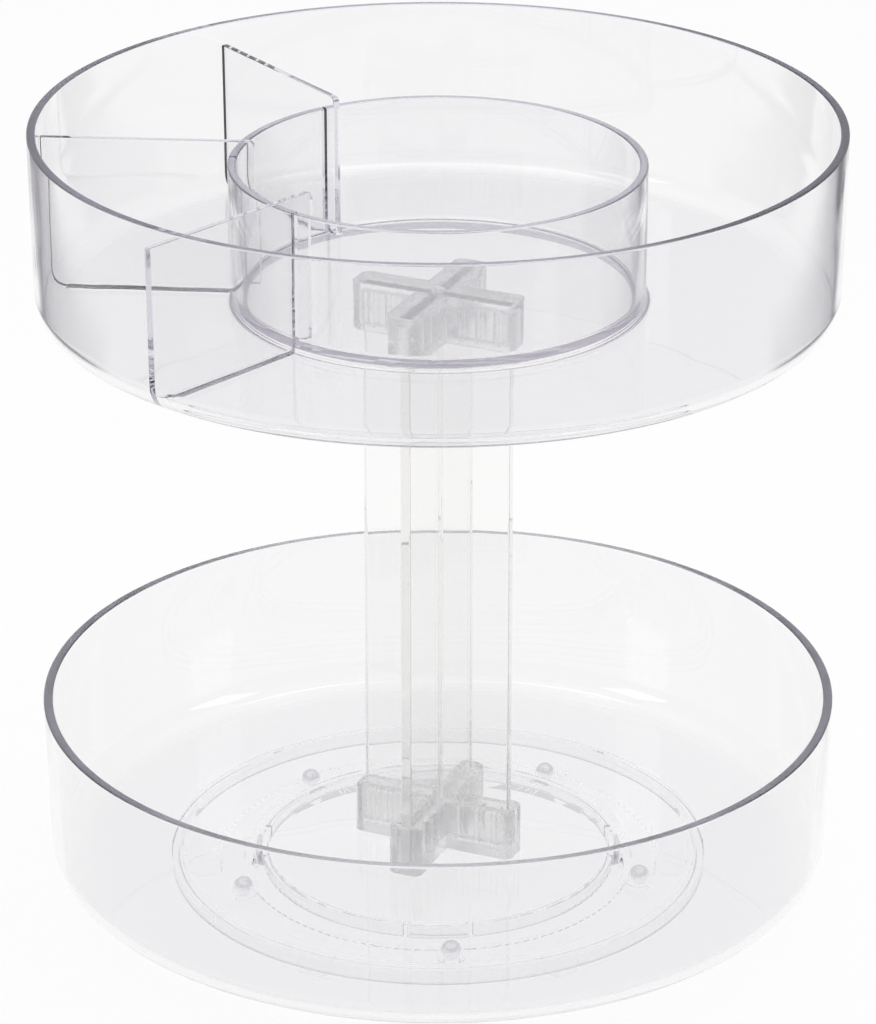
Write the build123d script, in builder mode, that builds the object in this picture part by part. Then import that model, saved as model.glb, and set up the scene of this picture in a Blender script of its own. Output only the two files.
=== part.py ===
from build123d import *
from math import cos, radians, sin
import os

# Two-tier turntable organiser in clear plastic, in millimetres.
# +Z is up, the table is z = 0 and the turning axis is the Z axis.

# Lower tray
lower_rim_r = 115.2  # outside radius at the rim
lower_base_r = 114.0  # outside radius that the drafted wall reaches at the bottom
lower_depth = 52.8
lower_wall = 2.7
lower_floor = 2.5
lower_corner_r = 9.7  # rounding between the wall and the floor, outside
rim_edge = 0.5  # chamfer on the rims, the ring and the base

# Upper tray
upper_rim_r = 114.3
upper_base_r = 113.6
upper_depth = 53.3
upper_wall = 2.45
upper_floor = 2.3
upper_corner_r = 7.5

# Ring and dividers that stand in the upper tray
ring_r = 58.8
ring_wall = 2.4
ring_drop = 11.2  # from the rim down to the top of the ring
ring_foot_r = 1.6  # fillet where the ring meets the floor
centre_raise = 2.5  # the floor inside the ring is this much higher
divider_drop = 6.5
divider_thickness = 2.1
divider_end_r = 1.5
divider_reach_in = 7.3  # from the ring's outside to a divider's free end within the ring
divider_azimuths = (124.5, 176, 227.5)  # degrees round from +X

# Cross-shaped column and its two sockets
arm_azimuth = -24
column_length = 166.4
fin_reach = 22.9  # from the axis to a fin's edge
fin_thickness = 3.05
fin_edge_r = 0.4
socket_height = 15.4
socket_floor = 3.4
socket_wall = 2.65
socket_end_wall = 2.0
socket_corner_r = 2.4
socket_edge = 1.0
seat_recess = 0.4  # depth of the cross-shaped seat that keys each socket in its tray
seat_gap = 0.15
slot_end_gap = 0.3
slot_side_gap = 0.8
rib_clearance = 0.05  # between a crush rib and the fin that it grips
rib_r = 1.1
rib_places = (8.5, 14.0, 19.5)  # along each arm, from the axis
pin_r = 2.0
pin_height = 1.6
pin_clearance = 0.15

# Balls and the cage that spaces them
ball_r = 3.0
ball_pitch_r = 61.2
ball_count = 5
first_ball_azimuth = -14.5
ball_clearance = 0.15
cage_plate = 1.6
cage_lip = 1.1
cage_floor_gap = 0.3
cage_side_gap = 0.4
pocket_wall = 1.0

# Rings under the lower tray: the skirt hides the base, the hub snaps into it
skirt_offset = 17.8  # from the ball circle out to the skirt's outside
skirt_wall = 2.2
skirt_depth = 4.6
skirt_gap = 0.8
hub_inset = 8.8  # from the ball circle in to the hub's outside
hub_wall = 1.8
hub_gap = 0.5
hook_count = 4
hook_arc = 18  # degrees
hook_reach = 1.7
hook_height = 1.8
hook_lead = 0.9
hook_gap = 0.3
hook_slot = 1.2
hook_slot_offset = 1.5  # degrees from a hook's end to the middle of its slot

# Fixed base and its feet
base_floor = 2.4
base_wall = 1.6
base_top_gap = 0.8  # below the lower tray
track_depth = 0.5
track_half_width = 2.0
lip_height = 1.3
lip_wall_gap = 0.4
foot_r = 5.0
foot_thickness = 1.8
foot_edge = 0.4
foot_recess = 0.6
foot_recess_gap = 0.2
foot_count = 6
foot_margin = 1.3

# Levels, from the table up
base_z = foot_thickness - foot_recess
race_z = base_z + base_floor
ball_z = race_z - track_depth + ball_clearance + ball_r
lower_z = ball_z + ball_r + ball_clearance
lower_floor_z = lower_z + lower_floor
lower_rim_z = lower_z + lower_depth
lower_seat_z = lower_floor_z - seat_recess
column_z = lower_seat_z + socket_floor
column_top_z = column_z + column_length
upper_seat_z = column_top_z + socket_floor
centre_z = upper_seat_z - seat_recess
centre_floor_z = centre_z + upper_floor
upper_z = centre_z - centre_raise
upper_floor_z = upper_z + upper_floor
upper_rim_z = upper_z + upper_depth
base_top_z = lower_z - base_top_gap
lip_z = base_top_z - lip_height
hook_top_z = lip_z - hook_gap
hub_foot_z = hook_top_z - hook_height

# Radii of the turntable, from the ball circle in and out
skirt_r = ball_pitch_r + skirt_offset
base_r = skirt_r - skirt_wall - skirt_gap
hub_r = ball_pitch_r - hub_inset
lip_r = hub_r + hub_gap
bore_r = hub_r + hook_reach + lip_wall_gap
cage_half_width = ball_pitch_r - bore_r - base_wall - cage_side_gap
pocket_r = ball_r + ball_clearance
foot_pitch_r = base_r - foot_margin - foot_recess_gap - foot_r

# The column's fins and what they leave for the sockets
slot_reach = fin_reach + slot_end_gap
slot_width = fin_thickness + 2 * slot_side_gap
socket_reach = slot_reach + socket_end_wall
socket_width = slot_width + 2 * socket_wall
rib_offset = fin_thickness / 2 + rib_clearance + rib_r


def on_circle(radius, azimuth):
    """The point at a radius and an azimuth in degrees."""
    return (radius * cos(radians(azimuth)), radius * sin(radians(azimuth)))


def corner(outline, x, y):
    """The vertex of a flat outline that lies nearest to (x, y)."""
    return outline.vertices().sort_by_distance((x, y, 0))[0]


def socket_outline(seat_z, up, gap=0.0):
    """A socket's cross on its seat, facing up (1) or down (-1), with a gap all round."""
    plane = Plane((0, 0, seat_z), x_dir=(*on_circle(1, arm_azimuth), 0), z_dir=(0, 0, up))
    with BuildSketch(plane) as outline:
        Rectangle(2 * (socket_reach + gap), socket_width + 2 * gap)
        Rectangle(socket_width + 2 * gap, 2 * (socket_reach + gap))
        tips = outline.vertices().filter_by(lambda v: Vector(v.X, v.Y).length > socket_width + 2 * gap)
        fillet(tips, radius=socket_corner_r + gap)
    return outline.sketch


def save(builder, name):
    """Labels a finished piece and writes it."""
    builder.part.label = name
    export_step(builder.part, f"parts/{name}.step")


os.makedirs("parts", exist_ok=True)

# Soft pads that the base stands on
for index in range(foot_count):
    with BuildPart() as foot:
        with BuildSketch(Plane.XY):
            with Locations(on_circle(foot_pitch_r, index * 360 / foot_count)):
                Circle(foot_r)
        extrude(amount=foot_thickness)
        chamfer(foot.edges().sort_by(Axis.Z)[0], length=foot_edge)
    save(foot, f"foot_{index + 1}")

# Fixed base: a channel with the ball track in its floor and a lip for the hooks
with BuildPart() as base_ring:
    with BuildSketch(Plane.XZ) as channel:
        with BuildLine():
            Polyline(
                (bore_r, base_z),
                (base_r, base_z),
                (base_r, base_top_z),
                (base_r - base_wall, base_top_z),
                (base_r - base_wall, race_z),
                (ball_pitch_r + track_half_width + track_depth, race_z),
                (ball_pitch_r + track_half_width, race_z - track_depth),
                (ball_pitch_r - track_half_width, race_z - track_depth),
                (ball_pitch_r - track_half_width - track_depth, race_z),
                (bore_r + base_wall, race_z),
                (bore_r + base_wall, base_top_z),
                (lip_r, base_top_z),
                (lip_r, lip_z),
                (bore_r, lip_z),
                close=True,
            )
        make_face()
        chamfer([corner(channel, base_r, base_z), corner(channel, base_r, base_top_z)], length=rim_edge)
    revolve(axis=Axis.Z)
    with BuildSketch(Plane.XY.offset(base_z)):
        with PolarLocations(foot_pitch_r, foot_count):
            Circle(foot_r + foot_recess_gap)
    extrude(amount=foot_recess, mode=Mode.SUBTRACT)
save(base_ring, "base_ring")

# Cage: a plate with a lip down each side and a collar round each ball
with BuildPart() as ball_cage:
    cage_top_z = ball_z + cage_plate / 2
    cage_foot_z = race_z + cage_floor_gap
    with BuildSketch(Plane.XY.offset(cage_foot_z)):
        Circle(ball_pitch_r + cage_half_width)
        Circle(ball_pitch_r - cage_half_width, mode=Mode.SUBTRACT)
    extrude(amount=cage_top_z - cage_foot_z)
    with BuildSketch(Plane.XY.offset(cage_foot_z)):
        Circle(ball_pitch_r + cage_half_width - cage_lip)
        Circle(ball_pitch_r - cage_half_width + cage_lip, mode=Mode.SUBTRACT)
        with PolarLocations(ball_pitch_r, ball_count, start_angle=first_ball_azimuth):
            Circle(pocket_r + pocket_wall, mode=Mode.SUBTRACT)
    extrude(amount=cage_top_z - cage_plate - cage_foot_z, mode=Mode.SUBTRACT)
    with BuildSketch(Plane.XY.offset(cage_foot_z)):
        with PolarLocations(ball_pitch_r, ball_count, start_angle=first_ball_azimuth):
            Circle(pocket_r)
    extrude(amount=cage_top_z - cage_foot_z, mode=Mode.SUBTRACT)
save(ball_cage, "ball_cage")

# Bearing balls
for index in range(ball_count):
    ball_x, ball_y = on_circle(ball_pitch_r, first_ball_azimuth + index * 360 / ball_count)
    with BuildPart() as ball:
        with Locations((ball_x, ball_y, ball_z)):
            Sphere(ball_r)
    save(ball, f"steel_ball_{index + 1}")

# Lower tray, with its locating pin, its skirt and its hooked hub
with BuildPart() as lower_tray:
    with BuildSketch(Plane.XZ) as section:
        with BuildLine():
            Polyline(
                (0, lower_z),
                (lower_base_r, lower_z),
                (lower_rim_r, lower_rim_z),
                (lower_rim_r - lower_wall, lower_rim_z),
                (lower_base_r - lower_wall, lower_floor_z),
                (0, lower_floor_z),
                close=True,
            )
        make_face()
        fillet(corner(section, lower_base_r, lower_z), radius=lower_corner_r)
        fillet(corner(section, lower_base_r - lower_wall, lower_floor_z), radius=lower_corner_r - lower_wall)
        chamfer(section.vertices().group_by(Axis.Y)[-1], length=rim_edge)
        with BuildLine():
            Polyline(
                (skirt_r - skirt_wall, lower_z + lower_floor / 2),
                (skirt_r - skirt_wall, lower_z - skirt_depth),
                (skirt_r, lower_z - skirt_depth),
                (skirt_r, lower_z + lower_floor / 2),
                close=True,
            )
        make_face()
        with BuildLine():
            Polyline(
                (hub_r - hub_wall, lower_z + lower_floor / 2),
                (hub_r - hub_wall, hub_foot_z),
                (hub_r, hub_foot_z),
                (hub_r, lower_z + lower_floor / 2),
                close=True,
            )
        make_face()
    revolve(axis=Axis.Z)
    for index in range(hook_count):
        hook_azimuth = index * 360 / hook_count
        with BuildSketch(Plane.XZ.rotated((0, 0, hook_azimuth - hook_arc / 2))):
            with BuildLine():
                Polyline(
                    (hub_r - hub_wall / 2, hub_foot_z),
                    (hub_r, hub_foot_z),
                    (hub_r + hook_reach, hub_foot_z + hook_lead),
                    (hub_r + hook_reach, hook_top_z),
                    (hub_r - hub_wall / 2, hook_top_z),
                    close=True,
                )
            make_face()
        revolve(axis=Axis.Z, revolution_arc=hook_arc)
        for side in (-1, 1):
            slot_azimuth = hook_azimuth + side * (hook_arc / 2 + hook_slot_offset)
            with BuildSketch(Plane.XY.offset(hub_foot_z)):
                with Locations(on_circle(hub_r - hub_wall / 2, slot_azimuth)):
                    Rectangle(hub_wall + 2 * hub_gap, hook_slot, rotation=slot_azimuth)
            extrude(amount=lower_z - hub_foot_z, mode=Mode.SUBTRACT)
    extrude(socket_outline(lower_seat_z, 1, seat_gap), amount=seat_recess, mode=Mode.SUBTRACT)
    with BuildSketch(Plane.XY.offset(lower_seat_z)):
        Circle(pin_r)
    extrude(amount=pin_height)
save(lower_tray, "lower_tray")

# The same socket stands on the lower tray and hangs under the upper one
for name, seat_z, up in (("lower_socket", lower_seat_z, 1), ("upper_socket", upper_seat_z, -1)):
    seat = Plane((0, 0, seat_z), x_dir=(*on_circle(1, arm_azimuth), 0), z_dir=(0, 0, up))
    with BuildPart() as socket:
        extrude(socket_outline(seat_z, up), amount=socket_height)
        mouth = socket.faces().sort_by(Axis.Z)[-1 if up > 0 else 0]
        chamfer(mouth.outer_wire().edges(), length=socket_edge)
        with BuildSketch(seat.offset(socket_floor)):
            Rectangle(2 * slot_reach, slot_width)
            Rectangle(slot_width, 2 * slot_reach)
        extrude(amount=socket_height - socket_floor, mode=Mode.SUBTRACT)
        with BuildSketch(seat.offset(socket_floor)):
            with PolarLocations(0, 4):
                for place in rib_places:
                    with Locations((place, rib_offset), (place, -rib_offset)):
                        Circle(rib_r)
        extrude(amount=socket_height - socket_floor - socket_edge)
        with BuildSketch(seat):
            Circle(pin_r + pin_clearance)
        extrude(amount=socket_floor, mode=Mode.SUBTRACT)
    save(socket, name)

# Column: four fins that stand in both sockets
with BuildPart() as column:
    with BuildSketch(Plane.XY.offset(column_z)) as fins:
        Rectangle(2 * fin_reach, fin_thickness, rotation=arm_azimuth)
        Rectangle(fin_thickness, 2 * fin_reach, rotation=arm_azimuth)
        fin_tips = fins.vertices().filter_by(lambda v: Vector(v.X, v.Y).length > fin_thickness)
        fillet(fin_tips, radius=fin_edge_r)
    extrude(amount=column_length)
save(column, "column")

# Upper tray, with its ring, its dividers and its locating pin
with BuildPart() as upper_tray:
    ring_bore_r = ring_r - ring_wall
    ring_top_z = upper_rim_z - ring_drop
    with BuildSketch(Plane.XZ) as section:
        with BuildLine():
            Polyline(
                (0, centre_z),
                (ring_bore_r, centre_z),
                (ring_bore_r, upper_z),
                (upper_base_r, upper_z),
                (upper_rim_r, upper_rim_z),
                (upper_rim_r - upper_wall, upper_rim_z),
                (upper_base_r - upper_wall, upper_floor_z),
                (ring_r, upper_floor_z),
                (ring_r, ring_top_z),
                (ring_bore_r, ring_top_z),
                (ring_bore_r, centre_floor_z),
                (0, centre_floor_z),
                close=True,
            )
        make_face()
        fillet(corner(section, upper_base_r, upper_z), radius=upper_corner_r)
        fillet(corner(section, upper_base_r - upper_wall, upper_floor_z), radius=upper_corner_r - upper_wall)
        chamfer(section.vertices().group_by(Axis.Y)[-1], length=rim_edge)
        ring_tops = [corner(section, ring_r, ring_top_z), corner(section, ring_bore_r, ring_top_z)]
        chamfer(ring_tops, length=rim_edge)
        ring_feet = [corner(section, ring_r, upper_floor_z), corner(section, ring_bore_r, centre_floor_z)]
        fillet(ring_feet, radius=ring_foot_r)
    revolve(axis=Axis.Z)
    for azimuth in divider_azimuths:
        with BuildSketch(Plane.XZ.rotated((0, 0, azimuth))) as web:
            web_start_r = ring_r - divider_reach_in
            web_end_r = upper_base_r - upper_wall / 2
            with BuildLine():
                Polyline(
                    (web_start_r, centre_z + upper_floor / 2),
                    (ring_r - ring_wall / 2, centre_z + upper_floor / 2),
                    (ring_r - ring_wall / 2, upper_z + upper_floor / 2),
                    (web_end_r, upper_z + upper_floor / 2),
                    (web_end_r, upper_rim_z - divider_drop),
                    (web_start_r, upper_rim_z - divider_drop),
                    close=True,
                )
            make_face()
            fillet(corner(web, web_end_r, upper_z), radius=upper_corner_r - upper_wall / 2)
            fillet(corner(web, web_start_r, upper_rim_z), radius=divider_end_r)
        extrude(amount=divider_thickness / 2, both=True)
    extrude(socket_outline(upper_seat_z, -1, seat_gap), amount=seat_recess, mode=Mode.SUBTRACT)
    with BuildSketch(Plane.XY.offset(upper_seat_z)):
        Circle(pin_r)
    extrude(amount=-pin_height)
save(upper_tray, "upper_tray")
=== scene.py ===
from math import cos, pi, radians, sin

import bmesh
import bpy
from mathutils import Matrix, Vector


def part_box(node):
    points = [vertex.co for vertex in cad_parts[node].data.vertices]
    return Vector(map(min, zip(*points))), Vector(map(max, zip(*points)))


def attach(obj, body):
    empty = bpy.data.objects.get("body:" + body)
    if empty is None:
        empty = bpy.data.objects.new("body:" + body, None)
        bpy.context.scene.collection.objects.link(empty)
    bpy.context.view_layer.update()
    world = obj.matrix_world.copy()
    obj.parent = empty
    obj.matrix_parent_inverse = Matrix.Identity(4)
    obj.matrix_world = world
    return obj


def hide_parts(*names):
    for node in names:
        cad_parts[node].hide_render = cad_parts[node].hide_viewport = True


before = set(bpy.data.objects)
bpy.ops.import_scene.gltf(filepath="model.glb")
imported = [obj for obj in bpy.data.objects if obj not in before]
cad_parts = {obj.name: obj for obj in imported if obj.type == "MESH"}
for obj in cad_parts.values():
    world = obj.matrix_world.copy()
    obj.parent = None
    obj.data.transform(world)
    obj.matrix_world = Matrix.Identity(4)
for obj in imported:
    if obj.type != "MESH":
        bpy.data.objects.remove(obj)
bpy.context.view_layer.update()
mm = 0.001
contactGap = 0.03 * mm  # left between clear pieces that rest on each other, so that light passes between them
sharpAngle = 32  # degrees; a sharper edge stays crisp


# mesh helpers

def turn(bm, azimuth):
    # turns everything in a bmesh round the tray's axis, in degrees
    bmesh.ops.rotate(bm, verts=bm.verts, cent=(0, 0, 0), matrix=Matrix.Rotation(radians(azimuth), 3, "Z"))


def roundCorners(bm, corners, segments=3):
    # corners holds (x, z, radius) for points of a flat outline in the XZ plane
    for x, z, radius in corners:
        vert = min(bm.verts, key=lambda v: (v.co - Vector((x, 0, z))).length)
        bmesh.ops.bevel(
            bm, geom=[vert], offset=radius, segments=max(segments, round(radius / mm)), profile=0.5,
            affect="VERTICES", material=-1)


def outlineFace(points, corners, segments=3):
    # a flat face in the XZ plane with rounded corners
    bm = bmesh.new()
    bm.faces.new([bm.verts.new((x, 0, z)) for x, z in points])
    roundCorners(bm, corners, segments)
    return bm


def lathe(points, corners, steps=192):
    # spins a closed outline about the axis
    bm = outlineFace(points, corners)
    bmesh.ops.delete(bm, geom=bm.faces[:], context="FACES_ONLY")
    onAxis = [e for e in bm.edges if all(abs(v.co.x) < 1e-7 for v in e.verts)]
    bmesh.ops.delete(bm, geom=onAxis, context="EDGES")
    bmesh.ops.spin(
        bm, geom=bm.verts[:] + bm.edges[:], cent=(0, 0, 0), axis=(0, 0, 1), angle=2 * pi, steps=steps,
        use_merge=True)
    bmesh.ops.remove_doubles(bm, verts=bm.verts, dist=1e-7)
    bmesh.ops.recalc_face_normals(bm, faces=bm.faces)
    return bm


def crossPrism(reach, width, cornerRadius, low, high, azimuth, segments=5):
    # two crossing bars as one upright prism
    bm = bmesh.new()
    middle = Matrix.Translation((0, 0, (low + high) / 2))
    bmesh.ops.create_cube(bm, size=1, matrix=middle @ Matrix.Diagonal((width, width, high - low, 1)))
    sides = [f for f in bm.faces if abs(f.normal.z) < 0.5]
    for face in bmesh.ops.extrude_discrete_faces(bm, faces=sides)["faces"]:
        face.normal_update()
        bmesh.ops.translate(bm, verts=face.verts, vec=face.normal * (reach - width / 2))
    if cornerRadius:
        tips = [e for e in bm.edges if abs(e.verts[0].co.z - e.verts[1].co.z) > (high - low) / 2
                and e.verts[0].co.xy.length > reach * 0.99]
        bmesh.ops.bevel(
            bm, geom=tips, offset=cornerRadius, segments=segments, profile=0.5, affect="EDGES", material=-1)
    turn(bm, azimuth)
    bmesh.ops.recalc_face_normals(bm, faces=bm.faces)
    return bm


def cylinder(radius, low, high, x=0.0, y=0.0, segments=32):
    bm = bmesh.new()
    bmesh.ops.create_cone(
        bm, cap_ends=True, segments=segments, radius1=radius, radius2=radius, depth=high - low,
        matrix=Matrix.Translation((x, y, (low + high) / 2)))
    return bm


def gather(parts):
    # several closed shapes as one bmesh
    whole = bmesh.new()
    for part in parts:
        mesh = bpy.data.meshes.new("part")
        part.to_mesh(mesh)
        part.free()
        whole.from_mesh(mesh)
        bpy.data.meshes.remove(mesh)
    return whole


def asObject(name, bm):
    mesh = bpy.data.meshes.new(name)
    bm.to_mesh(mesh)
    bm.free()
    piece = bpy.data.objects.new(name, mesh)
    bpy.context.scene.collection.objects.link(piece)
    return piece


def bake(piece):
    # applies the modifiers of a piece
    ready = piece.evaluated_get(bpy.context.evaluated_depsgraph_get())
    mesh = bpy.data.meshes.new_from_object(ready)
    piece.modifiers.clear()
    piece.data = mesh


def combine(piece, bm, operation):
    # joins a shape to a piece, or cuts it out
    tool = asObject("tool", bm)
    step = piece.modifiers.new("step", "BOOLEAN")
    step.object, step.operation, step.solver = tool, operation, "EXACT"
    bake(piece)
    bpy.data.objects.remove(tool)


def finishPiece(piece, material, body, nodes):
    # smooth shading that keeps flat faces flat, then its material and its place in the frame
    piece.data.materials.clear()
    piece.data.materials.append(material)
    piece.data.shade_smooth()
    piece.data.set_sharp_from_angle(angle=radians(sharpAngle))
    weighted = piece.modifiers.new("weighted", "WEIGHTED_NORMAL")
    weighted.keep_sharp = True
    bake(piece)
    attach(piece, body)
    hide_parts(*nodes)
    print("made", piece.name, len(piece.data.polygons), "faces")
    return piece


def smoothCopy(node, name, material, body):
    # a merged and smoothly shaded copy of a node
    bm = bmesh.new()
    bm.from_mesh(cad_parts[node].data)
    bmesh.ops.remove_doubles(bm, verts=bm.verts, dist=1e-6)
    return finishPiece(asObject(name, bm), material, body, [node])


# shader helpers

class Flow:
    # a socket that takes part in arithmetic, adding Math nodes
    def __init__(self, shader, socket):
        self.shader, self.socket = shader, socket

    def maths(self, operation, first, second):
        return self.shader.maths(operation, first, second)

    def __add__(self, other):
        return self.maths("ADD", self, other)

    __radd__ = __add__

    def __mul__(self, other):
        return self.maths("MULTIPLY", self, other)

    __rmul__ = __mul__

    def __sub__(self, other):
        return self.maths("SUBTRACT", self, other)

    def __rsub__(self, other):
        return self.maths("SUBTRACT", other, self)


class Shader:
    # a node tree with one method, node, that adds any node
    def __init__(self, owner):
        owner.use_nodes = True
        self.tree = owner.node_tree
        self.tree.nodes.clear()

    def node(self, kind, settings=None, values=None, output=0):
        made = self.tree.nodes.new(kind)
        for key, value in (settings or {}).items():
            setattr(made, key, value)
        for key, value in (values or {}).items():
            if isinstance(value, Flow):
                self.tree.links.new(value.socket, made.inputs[key])
            else:
                made.inputs[key].default_value = value
        return Flow(self, made.outputs[output])

    def maths(self, operation, *values):
        return self.node("ShaderNodeMath", {"operation": operation}, dict(enumerate(values)))

    def noise(self, scale, detail, roughness=0.5):
        place = self.node("ShaderNodeTexCoord", output="Object")
        return self.node("ShaderNodeTexNoise", {}, {
            "Vector": place, "Scale": scale, "Detail": detail, "Roughness": roughness})

    def split(self, vector):
        parts = self.tree.nodes.new("ShaderNodeSeparateXYZ")
        self.tree.links.new(vector.socket, parts.inputs[0])
        return [Flow(self, parts.outputs[axis]) for axis in "XYZ"]

    def onTops(self, heights, depth):
        # 1 on upward faces that lie within a depth of one of the heights
        height = self.split(self.node("ShaderNodeTexCoord", output="Object"))[2]
        upward = self.split(self.node("ShaderNodeNewGeometry", output="Normal"))[2]
        near = 0.0
        for level in heights:
            near = self.maths("COMPARE", height, level - depth / 2, depth / 2 + 0.05 * mm) + near
        return self.maths("GREATER_THAN", upward, 0.4) * near

    def rays(self, *names):
        # Light Path outputs
        path = self.tree.nodes.new("ShaderNodeLightPath")
        return [Flow(self, path.outputs[f"Is {name} Ray"]) for name in names]

    def output(self, kind, surface, volume=None):
        out = self.tree.nodes.new(kind)
        self.tree.links.new(surface.socket, out.inputs["Surface"])
        if volume:
            self.tree.links.new(volume.socket, out.inputs["Volume"])

    def mixColour(self, factor, first, second):
        return self.node("ShaderNodeMix", {"data_type": "RGBA"}, {
            "Factor": factor, 6: first, 7: second}, output=2)

    def step(self, value, start, end):
        # rises smoothly from 0 to 1 as the value goes from start to end
        return self.node("ShaderNodeMapRange", {"interpolation_type": "SMOOTHSTEP"}, {
            "Value": value, "From Min": start, "From Max": end})

    def between(self, mask, low, high):
        # a value that runs from low to high as the mask goes from 0 to 1
        return mask * (high - low) + low


def newMaterial(name):
    material = bpy.data.materials.new(name)
    return material, Shader(material)


def clearPlastic(name, settings):
    # transparent plastic: tinted inside, faintly scuffed and rippled outside, light to shadow rays
    material, shader = newMaterial(name)
    scuffs = shader.noise(settings["scuffScale"], 4.0)
    ripple = shader.noise(settings["rippleScale"], 1.0)
    bump = shader.node("ShaderNodeBump", {}, {
        "Strength": settings["rippleStrength"], "Distance": settings["rippleDepth"], "Height": ripple})
    roughness, colour = shader.between(scuffs, *settings["roughness"]), (*settings["surfaceColour"], 1)
    # painted shade: upward faces at the rim heights take a grey-violet colour for the shade that light
    # carried through the clear wall shows on the rim; their roughness rises too
    if "rimHeights" in settings:
        rim = shader.onTops(settings["rimHeights"], settings["rimDepth"])
        roughness = roughness + rim * settings["rimRoughness"]
        colour = shader.mixColour(rim, colour, (*settings["rimPaintedShade"], 1))
    surface = shader.node("ShaderNodeBsdfPrincipled", {}, {
        "Base Color": colour,
        "Roughness": roughness,
        "IOR": settings["ior"],
        "Transmission Weight": 1.0,
        "Normal": bump,
    })
    shadow = shader.rays("Shadow")[0]
    seeThrough = shader.node("ShaderNodeBsdfTransparent", {}, {"Color": (*settings["shadowColour"], 1)})
    mixed = shader.node("ShaderNodeMixShader", {}, {0: shadow, 1: surface, 2: seeThrough})
    absorb = None
    if "density" in settings:
        absorb = shader.node("ShaderNodeVolumeAbsorption", {}, {
            "Color": (*settings["insideColour"], 1), "Density": settings["density"]})
    shader.output("ShaderNodeOutputMaterial", mixed, absorb)
    return material


def ballMetal(settings):
    material, shader = newMaterial("polishedSteel")
    haze = shader.noise(settings["hazeScale"], 3.0)
    surface = shader.node("ShaderNodeBsdfPrincipled", {}, {
        "Base Color": (*settings["colour"], 1), "Metallic": 1.0,
        "Roughness": shader.between(haze, *settings["roughness"])})
    shader.output("ShaderNodeOutputMaterial", surface)
    return material


# materials

# colours are linear, and density is per metre
# rimPaintedShade is painted shade: a grey-violet colour on the rim tops for the shade seen along the clear
# rim
trayFinish = {
    "surfaceColour": (0.962, 0.961, 0.965), "insideColour": (0.42, 0.38, 0.53), "density": 6.0, "ior": 1.5,
    "roughness": (0.0, 0.03), "scuffScale": 60.0, "rippleScale": 35.0, "rippleStrength": 0.06,
    "rippleDepth": 0.002, "shadowColour": (0.97, 0.965, 0.98), "rimDepth": 0.5 * mm,
    "rimPaintedShade": (0.72, 0.70, 0.78), "rimRoughness": 0.25}
# the lower tray's rim tops take a paler painted shade
lowerPlastic = clearPlastic("clearLowerTray", {
    **trayFinish, "surfaceColour": (0.952, 0.951, 0.955), "density": 2.5, "rimHeights": [62.2 * mm],
    "rimPaintedShade": (0.95, 0.93, 0.98)})
upperPlastic = clearPlastic("clearUpperTray", {**trayFinish, "rimHeights": [235.1 * mm, 223.9 * mm]})
columnPlastic = clearPlastic("clearColumnPlastic", {
    "surfaceColour": (0.97, 0.97, 0.967), "insideColour": (0.45, 0.43, 0.36), "density": 4.0, "ior": 1.5,
    "roughness": (0.0, 0.03), "scuffScale": 60.0, "rippleScale": 30.0, "rippleStrength": 0.05,
    "rippleDepth": 0.002, "shadowColour": (0.97, 0.97, 0.96)})
socketPlastic = clearPlastic("milkySocketPlastic", {
    "surfaceColour": (0.985, 0.985, 0.985), "ior": 1.4, "roughness": (0.2, 0.32), "scuffScale": 90.0,
    "rippleScale": 60.0, "rippleStrength": 0.05, "rippleDepth": 0.001, "shadowColour": (0.85, 0.85, 0.86)})
basePlastic = clearPlastic("clearBasePlastic", {
    "surfaceColour": (1.0, 1.0, 1.0), "ior": 1.03, "roughness": (0.0, 0.04), "scuffScale": 80.0,
    "rippleScale": 50.0, "rippleStrength": 0.05, "rippleDepth": 0.001, "shadowColour": (0.97, 0.97, 0.975)})
footRubber = clearPlastic("softFootPad", {
    "surfaceColour": (1.0, 1.0, 1.0), "ior": 1.06, "roughness": (0.02, 0.08), "scuffScale": 150.0,
    "rippleScale": 120.0, "rippleStrength": 0.08, "rippleDepth": 0.0005, "shadowColour": (0.8, 0.8, 0.82)})
steel = ballMetal({"colour": (0.9, 0.9, 0.915), "roughness": (0.05, 0.16), "hazeScale": 220.0})
print("materials ready")


# lower tray

lowerTray = {
    "baseRadius": 114.0, "depth": 52.8, "wall": 2.7, "floor": 2.5, "cornerRadius": 9.7, "rimEdge": 0.5,
    "skirtRadius": 79.0, "skirtWall": 2.2, "skirtDepth": 4.6, "hubRadius": 52.4, "hubWall": 1.8,
    "hubDepth": 4.2,
    "hookArc": 18, "hookReach": 1.7, "hookHeight": 1.8, "hookLead": 0.9, "hookCount": 4, "hookSteps": 8,
    "slotSize": (3.0, 1.2, 5.0), "slotInset": 0.9, "slotRise": 1.6, "slotOffset": 1.5, "footEdge": 0.3}
cross = {
    "azimuth": -24, "seatRecess": 0.4, "seatGap": 0.15, "socketReach": 25.2, "socketWidth": 9.95,
    "socketCorner": 2.4, "socketEdge": 1.0, "socketFloor": 3.4, "slotReach": 23.2, "slotWidth": 4.65,
    "ribRadius": 1.1, "ribOffset": 2.675, "ribPlaces": (8.5, 14.0, 19.5), "ribSegments": 20, "pinRadius": 2.0,
    "pinHeight": 1.6, "pinHole": 2.15, "finReach": 22.9, "finThickness": 3.05, "finEdge": 0.4}


def trayWall(size, rimRadius, rimZ):
    # the corners of a tray's wall, from the outside bottom corner round to the inside one, and its radii
    baseRadius, wall = size["baseRadius"] * mm, size["wall"] * mm
    bottomZ, floorZ = rimZ - size["depth"] * mm, rimZ - (size["depth"] - size["floor"]) * mm
    points = [(baseRadius, bottomZ), (rimRadius, rimZ), (rimRadius - wall, rimZ), (baseRadius - wall, floorZ)]
    radii = [size["cornerRadius"], size["rimEdge"], size["rimEdge"], size["cornerRadius"] - size["wall"]]
    return points, [(x, z, radius * mm) for (x, z), radius in zip(points, radii)]


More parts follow.
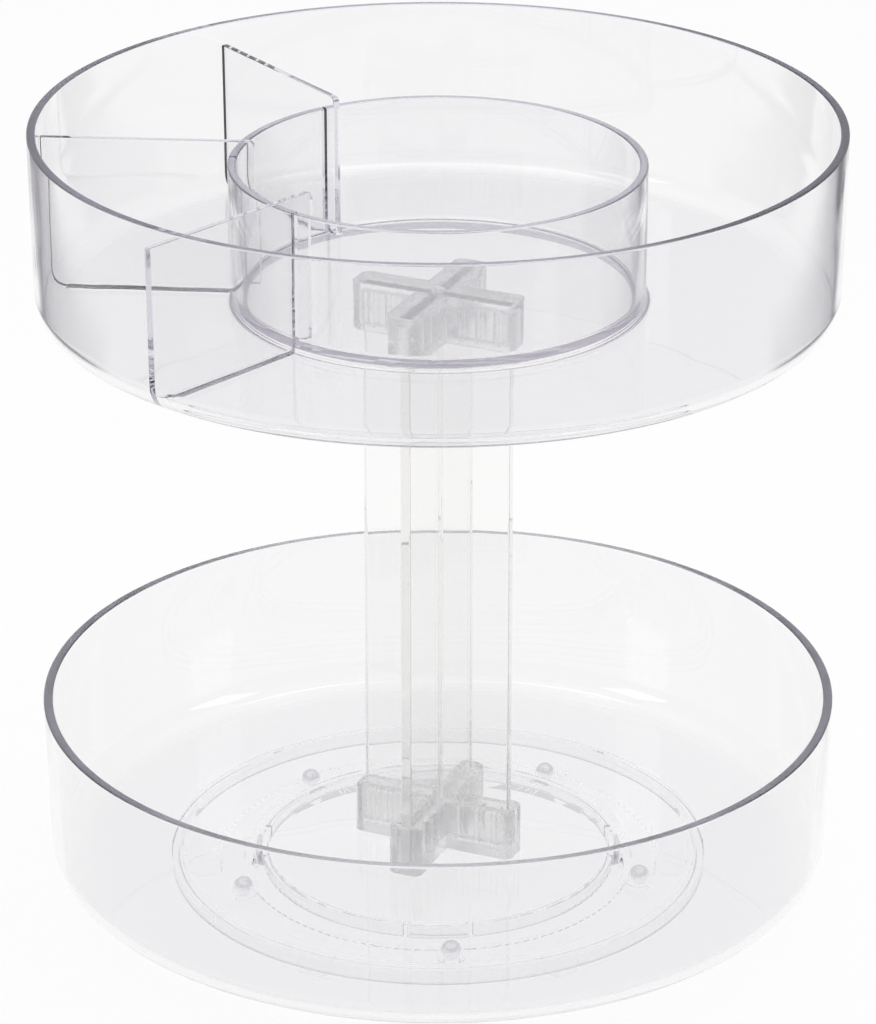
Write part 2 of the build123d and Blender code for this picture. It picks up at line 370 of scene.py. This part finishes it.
def socketSeat(seatZ, up):
    # the shallow recess that keys a socket in a tray
    gap = cross["seatGap"] * mm
    low, high = sorted((seatZ, seatZ + 2 * up * cross["seatRecess"] * mm))
    return crossPrism(
        cross["socketReach"] * mm + gap, cross["socketWidth"] * mm + 2 * gap,
        cross["socketCorner"] * mm + gap, low, high, cross["azimuth"])


def seatPin(seatZ, up):
    low, high = sorted((seatZ - up * mm, seatZ + up * cross["pinHeight"] * mm))
    return cylinder(cross["pinRadius"] * mm, low, high)


def makeLowerTray():
    size = lowerTray
    low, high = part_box("lower_tray")
    wall, radii = trayWall(size, high.x, high.z)
    bottomZ, floorZ = wall[0][1], wall[3][1]
    skirtOut, skirtIn = size["skirtRadius"] * mm, (size["skirtRadius"] - size["skirtWall"]) * mm
    hubOut, hubIn = size["hubRadius"] * mm, (size["hubRadius"] - size["hubWall"]) * mm
    skirtZ, hubZ = bottomZ - size["skirtDepth"] * mm, bottomZ - size["hubDepth"] * mm
    under = [
        (hubIn, bottomZ), (hubIn, hubZ), (hubOut, hubZ), (hubOut, bottomZ),
        (skirtIn, bottomZ), (skirtIn, skirtZ), (skirtOut, skirtZ), (skirtOut, bottomZ)]
    edge = size["footEdge"] * mm
    radii += [(x, z, edge) for x, z in under if z < bottomZ - mm]
    tray = asObject("lowerTray", lathe([(0, bottomZ), *under, *wall, (0, floorZ)], radii))
    seatZ = floorZ - cross["seatRecess"] * mm
    slots, hooks = [], []
    hookTop, hookOut = hubZ + size["hookHeight"] * mm, hubOut + size["hookReach"] * mm
    slotPlace = Matrix.Translation((hubOut - size["slotInset"] * mm, 0, hubZ + size["slotRise"] * mm))
    slotBox = slotPlace @ Matrix.Diagonal((*(side * mm for side in size["slotSize"]), 1))
    for index in range(size["hookCount"]):
        azimuth = index * 360 / size["hookCount"]
        hook = outlineFace([
            (hubOut - mm, hubZ), (hubOut, hubZ), (hookOut, hubZ + size["hookLead"] * mm), (hookOut, hookTop),
            (hubOut - mm, hookTop)], [])
        turn(hook, azimuth - size["hookArc"] / 2)
        bmesh.ops.spin(
            hook, geom=hook.faces[:] + hook.edges[:] + hook.verts[:], cent=(0, 0, 0), axis=(0, 0, 1),
            angle=radians(size["hookArc"]), steps=size["hookSteps"])
        bmesh.ops.recalc_face_normals(hook, faces=hook.faces)
        hooks.append(hook)
        for side in (-1, 1):
            slot = bmesh.new()
            bmesh.ops.create_cube(slot, size=1, matrix=slotBox)
            turn(slot, azimuth + side * (size["hookArc"] / 2 + size["slotOffset"]))
            slots.append(slot)
    combine(tray, gather([socketSeat(seatZ, 1), *slots]), "DIFFERENCE")
    combine(tray, gather([seatPin(seatZ, 1), *hooks]), "UNION")
    return finishPiece(tray, lowerPlastic, "carousel", ["lower_tray"])


# upper tray

upperTray = {
    "baseRadius": 113.6, "depth": 53.3, "wall": 2.45, "floor": 2.3, "cornerRadius": 7.5, "rimEdge": 0.5,
    "ringRadius": 58.8, "ringWall": 2.4, "ringDrop": 11.2, "ringFoot": 1.6, "ringStep": 0.8,
    "centreRaise": 2.5,
    "dividerDrop": 6.5, "dividerThickness": 2.1, "dividerEnd": 1.5, "dividerReachIn": 7.3, "dividerEdge": 0.3,
    "dividerFoot": 1.1, "dividerFootStart": 0.2, "dividerFootSink": 0.5,
    "dividerAzimuths": (124.5, 176, 227.5)}


def makeDivider(azimuth, floorZ, centreFloorZ, topZ, reach):
    # an upright plate whose free end stands inside the ring
    size = upperTray
    start = (size["ringRadius"] - size["dividerReachIn"]) * mm
    middle = (size["ringRadius"] - size["ringWall"] / 2) * mm
    sunk = size["floor"] * mm / 2
    outside, inside = floorZ - sunk, centreFloorZ - sunk
    plate = outlineFace(
        [(start, inside), (middle, inside), (middle, outside), (reach, outside), (reach, topZ),
         (start, topZ)],
        [(reach, outside, size["cornerRadius"] * mm), (start, topZ, size["dividerEnd"] * mm)], 4)
    raised = bmesh.ops.extrude_face_region(plate, geom=plate.faces[:])["geom"]
    half = size["dividerThickness"] * mm / 2
    moved = [v for v in raised if isinstance(v, bmesh.types.BMVert)]
    bmesh.ops.translate(plate, verts=moved, vec=(0, 2 * half, 0))
    bmesh.ops.translate(plate, verts=plate.verts, vec=(0, -half, 0))
    bmesh.ops.recalc_face_normals(plate, faces=plate.faces)
    sideFaces = [f for f in plate.faces if abs(f.normal.y) > 0.9]
    upper = topZ - 2 * size["dividerEnd"] * mm
    edges = {e for f in sideFaces for e in f.edges if min(v.co.z for v in e.verts) > upper}
    bmesh.ops.bevel(
        plate, geom=list(edges), offset=size["dividerEdge"] * mm, segments=2, profile=0.5, affect="EDGES",
        material=-1)
    turn(plate, azimuth)
    return plate


def makeDividerFoot(azimuth, floorZ, reach):
    # the rounded corner that runs along both sides of a divider on the tray's floor
    size = upperTray
    start, radius = (size["ringRadius"] + size["dividerFootStart"]) * mm, size["dividerFoot"] * mm
    half = size["dividerThickness"] * mm / 2
    curve = [(half + radius * (1 - cos(radians(step))), floorZ + radius * (1 - sin(radians(step))))
             for step in (0, 22.5, 45, 67.5, 90)]
    # its ends run a little into the plate and the floor
    curve = [(half - 0.05 * mm, curve[0][1])] + curve[1:-1] + [(half + radius, floorZ - 0.02 * mm)]
    section = curve + [(half + radius, floorZ - size["dividerFootSink"] * mm)]
    foot = bmesh.new()
    points = section + [(-y, z) for y, z in reversed(section)]
    face = foot.faces.new([foot.verts.new((start, y, z)) for y, z in points])
    raised = bmesh.ops.extrude_face_region(foot, geom=[face])["geom"]
    moved = [v for v in raised if isinstance(v, bmesh.types.BMVert)]
    bmesh.ops.translate(foot, verts=moved, vec=(reach - start, 0, 0))
    bmesh.ops.recalc_face_normals(foot, faces=foot.faces)
    turn(foot, azimuth)
    return foot


def makeUpperTray():
    size = upperTray
    low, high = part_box("upper_tray")
    wall, radii = trayWall(size, high.x, high.z)
    bottomZ, floorZ = wall[0][1], wall[3][1]
    ringOut, ringIn = size["ringRadius"] * mm, (size["ringRadius"] - size["ringWall"]) * mm
    ringTop = high.z - size["ringDrop"] * mm
    centreZ = bottomZ + size["centreRaise"] * mm
    centreFloorZ = centreZ + size["floor"] * mm
    ring = [(ringOut, floorZ), (ringOut, ringTop), (ringIn, ringTop), (ringIn, centreFloorZ)]
    ringRadii = [size["ringFoot"], size["rimEdge"], size["rimEdge"], size["ringFoot"]]
    radii += [(x, z, radius * mm) for (x, z), radius in zip(ring, ringRadii)]
    points = [(0, centreZ), (ringIn, centreZ), (ringIn, bottomZ), *wall, *ring, (0, centreFloorZ)]
    radii += [(ringIn, z, size["ringStep"] * mm) for z in (centreZ, bottomZ)]
    tray = asObject("upperTray", lathe(points, radii))
    seatZ = centreZ + cross["seatRecess"] * mm
    combine(tray, socketSeat(seatZ, -1), "DIFFERENCE")
    reach = (size["baseRadius"] - size["wall"] / 2) * mm
    footReach = (size["baseRadius"] - size["cornerRadius"]) * mm
    dividerTop = high.z - size["dividerDrop"] * mm
    for azimuth in size["dividerAzimuths"]:
        combine(tray, makeDivider(azimuth, floorZ, centreFloorZ, dividerTop, reach), "UNION")
        combine(tray, makeDividerFoot(azimuth, floorZ, footReach), "UNION")
    combine(tray, seatPin(seatZ, -1), "UNION")
    return finishPiece(tray, upperPlastic, "carousel", ["upper_tray"])


# column and sockets

def makeColumn():
    low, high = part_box("column")
    column = asObject("column", crossPrism(
        cross["finReach"] * mm, cross["finThickness"] * mm, cross["finEdge"] * mm, low.z + contactGap,
        high.z - contactGap, cross["azimuth"], 3))
    return finishPiece(column, columnPlastic, "carousel", ["column"])


def makeSocket(node, name, up):
    low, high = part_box(node)
    seatZ, mouthZ = (low.z, high.z) if up > 0 else (high.z, low.z)
    edge = cross["socketEdge"] * mm
    bottom, top = sorted((seatZ + up * contactGap, mouthZ))
    body = crossPrism(
        cross["socketReach"] * mm, cross["socketWidth"] * mm, cross["socketCorner"] * mm, bottom, top,
        cross["azimuth"])
    rim = [e for e in body.edges if all(abs(v.co.z - mouthZ) < 1e-6 for v in e.verts)
           and len(e.link_faces) == 2 and any(abs(f.normal.z) < 0.5 for f in e.link_faces)]
    bmesh.ops.bevel(body, geom=rim, offset=edge, segments=3, profile=0.5, affect="EDGES", material=-1)
    socket = asObject(name, body)
    floorZ = seatZ + up * cross["socketFloor"] * mm
    slotLow, slotHigh = sorted((floorZ, mouthZ + up * mm))
    slots = crossPrism(
        cross["slotReach"] * mm, cross["slotWidth"] * mm, 0, slotLow, slotHigh, cross["azimuth"])
    combine(socket, slots, "DIFFERENCE")
    holeLow, holeHigh = sorted((seatZ - up * mm, floorZ + up * mm))
    combine(socket, cylinder(cross["pinHole"] * mm, holeLow, holeHigh), "DIFFERENCE")
    ribLow, ribHigh = sorted((floorZ - up * mm, mouthZ - up * edge))
    ribs = []
    for arm in range(4):
        for place in cross["ribPlaces"]:
            for side in (-1, 1):
                rib = cylinder(
                    cross["ribRadius"] * mm, ribLow, ribHigh, place * mm, side * cross["ribOffset"] * mm,
                    cross["ribSegments"])
                turn(rib, cross["azimuth"] + arm * 90)
                ribs.append(rib)
    combine(socket, gather(ribs), "UNION")
    return finishPiece(socket, socketPlastic, "carousel", [node])


# feet

foot = {"edge": 0.4, "edgeSegments": 3, "segments": 48}


def makeFoot(index):
    low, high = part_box(f"foot_{index}")
    middle = (low + high) / 2
    pad = cylinder((high.x - low.x) / 2, low.z, high.z - contactGap, middle.x, middle.y, foot["segments"])
    under = [e for e in pad.edges if all(abs(v.co.z - low.z) < 1e-6 for v in e.verts)]
    bmesh.ops.bevel(
        pad, geom=under, offset=foot["edge"] * mm, segments=foot["edgeSegments"], profile=0.5, affect="EDGES",
        material=-1)
    return finishPiece(asObject(f"foot{index}", pad), footRubber, "base", [f"foot_{index}"])


# stage, lights, camera

stage = {
    "size": 6.0, "drop": 0.2, "paperColour": (0.9, 0.9, 0.9, 1), "glowShare": 0.86,
    # grey cards beside the table, out of the picture, that the clear walls mirror
    "cardColour": (0.24, 0.228, 0.258, 1), "cardNear": (0.29, 0.34), "cardFar": (0.48, 0.6),
    "cardFront": (0.04, 0.12)}
room = {
    "ceilingColour": (0.94, 0.94, 0.94, 1), "wallColour": (0.72, 0.71, 0.74, 1), "wallTop": (0.55, 0.85),
    "fill": 0.55}
lamps = {
    "overhead": {"place": (0, 0.2, 2.2), "target": (0, 0, 0.1), "size": (1.8, 1.8), "energy": 22},
    "leftStrip": {"place": (-1.6, -0.6, 1.0), "target": (0, 0, 0.12), "size": (0.5, 1.6), "energy": 6},
    "rightStrip": {"place": (1.7, -0.4, 0.9), "target": (0, 0, 0.12), "size": (0.5, 1.6), "energy": 5}}
view = {"place": (0, -1.23699, 0.65044), "tilt": 66.68, "lens": 164.33, "sensor": 36.0, "clipEnd": 20.0}
white = (1, 1, 1, 1)


def makeStage():
    bm = bmesh.new()
    bmesh.ops.create_grid(bm, x_segments=1, y_segments=1, size=stage["size"])
    bmesh.ops.translate(bm, verts=bm.verts, vec=(0, 0, -stage["drop"] * mm))  # just below the feet's faces
    floor = asObject("studioFloor", bm)
    material, shader = newMaterial("whiteFloor")
    camera, glossy, through = shader.rays("Camera", "Glossy", "Transmission")
    seen = shader.maths("MINIMUM", camera + glossy + through, 1.0)
    sideways, away, _ = shader.split(shader.node("ShaderNodeTexCoord", output="Object"))
    across = shader.maths("ABSOLUTE", sideways)
    card = shader.step(across, *stage["cardNear"]) * (1 - shader.step(across, *stage["cardFar"]))
    card = card * shader.step(away, *stage["cardFront"])
    table = shader.mixColour(card * (1 - camera), white, stage["cardColour"])
    glow = shader.node("ShaderNodeEmission", {}, {"Color": table, "Strength": 1.0})
    paper = shader.node("ShaderNodeBsdfDiffuse", {}, {"Color": stage["paperColour"]})
    mixed = shader.node("ShaderNodeMixShader", {}, {0: seen * stage["glowShare"], 1: paper, 2: glow})
    shader.output("ShaderNodeOutputMaterial", mixed)
    floor.data.materials.append(material)


def makeWorld():
    world = bpy.data.worlds.new("studioWorld")
    bpy.context.scene.world = world
    shader = Shader(world)
    camera, glossy, through = shader.rays("Camera", "Glossy", "Transmission")
    height = shader.split(shader.node("ShaderNodeTexCoord", output="Generated"))[2]
    # the room's walls are greyer than the ceiling, so clear edges draw grey lines
    walls = 1 - shader.step(height, *room["wallTop"])
    shades = shader.mixColour(walls, room["ceilingColour"], room["wallColour"])
    sweep, seenRoom, fill = (
        shader.node("ShaderNodeBackground", {}, {"Color": colour, "Strength": strength})
        for colour, strength in ((white, 1.0), (shades, 1.0), (white, room["fill"])))
    bent = shader.maths("MINIMUM", glossy + through, 1.0)
    indirect = shader.node("ShaderNodeMixShader", {}, {0: bent, 1: fill, 2: seenRoom})
    whole = shader.node("ShaderNodeMixShader", {}, {0: camera, 1: indirect, 2: sweep})
    shader.output("ShaderNodeOutputWorld", whole)


def makeLamp(name, settings):
    data = bpy.data.lights.new(name, "AREA")
    data.shape, (data.size, data.size_y), data.energy = "RECTANGLE", settings["size"], settings["energy"]
    lamp = bpy.data.objects.new(name, data)
    bpy.context.scene.collection.objects.link(lamp)
    lamp.visible_transmission = False
    lamp.location = settings["place"]
    aim = Vector(settings["target"]) - Vector(settings["place"])
    lamp.rotation_euler = aim.to_track_quat("-Z", "Y").to_euler()


def makeCamera():
    data = bpy.data.cameras.new("camera")
    data.sensor_width, data.lens, data.clip_end = view["sensor"], view["lens"], view["clipEnd"]
    camera = bpy.data.objects.new("camera", data)
    bpy.context.scene.collection.objects.link(camera)
    camera.location = view["place"]
    camera.rotation_euler = (radians(view["tilt"]), 0, 0)
    bpy.context.scene.camera = camera


def allowBounces(deepest, transparent):
    # light passes many clear walls before it leaves the trays
    cycles = bpy.context.scene.cycles
    cycles.max_bounces = cycles.transmission_bounces = cycles.glossy_bounces = deepest
    cycles.transparent_max_bounces = transparent


# everything in its turn

makeLowerTray()
makeUpperTray()
makeColumn()
makeSocket("lower_socket", "lowerSocket", 1)
makeSocket("upper_socket", "upperSocket", -1)
smoothCopy("base_ring", "baseRing", basePlastic, "base")
smoothCopy("ball_cage", "ballCage", basePlastic, "cage")
for index in range(1, 6):
    smoothCopy(f"steel_ball_{index}", f"steelBall{index}", steel, f"ball_{index}")
for index in range(1, 7):
    makeFoot(index)
print("pieces ready")

makeStage()
makeWorld()
for name, settings in lamps.items():
    makeLamp(name, settings)
makeCamera()
allowBounces(40, 24)
bpy.context.scene.view_settings.view_transform = "Standard"
print("stage ready")
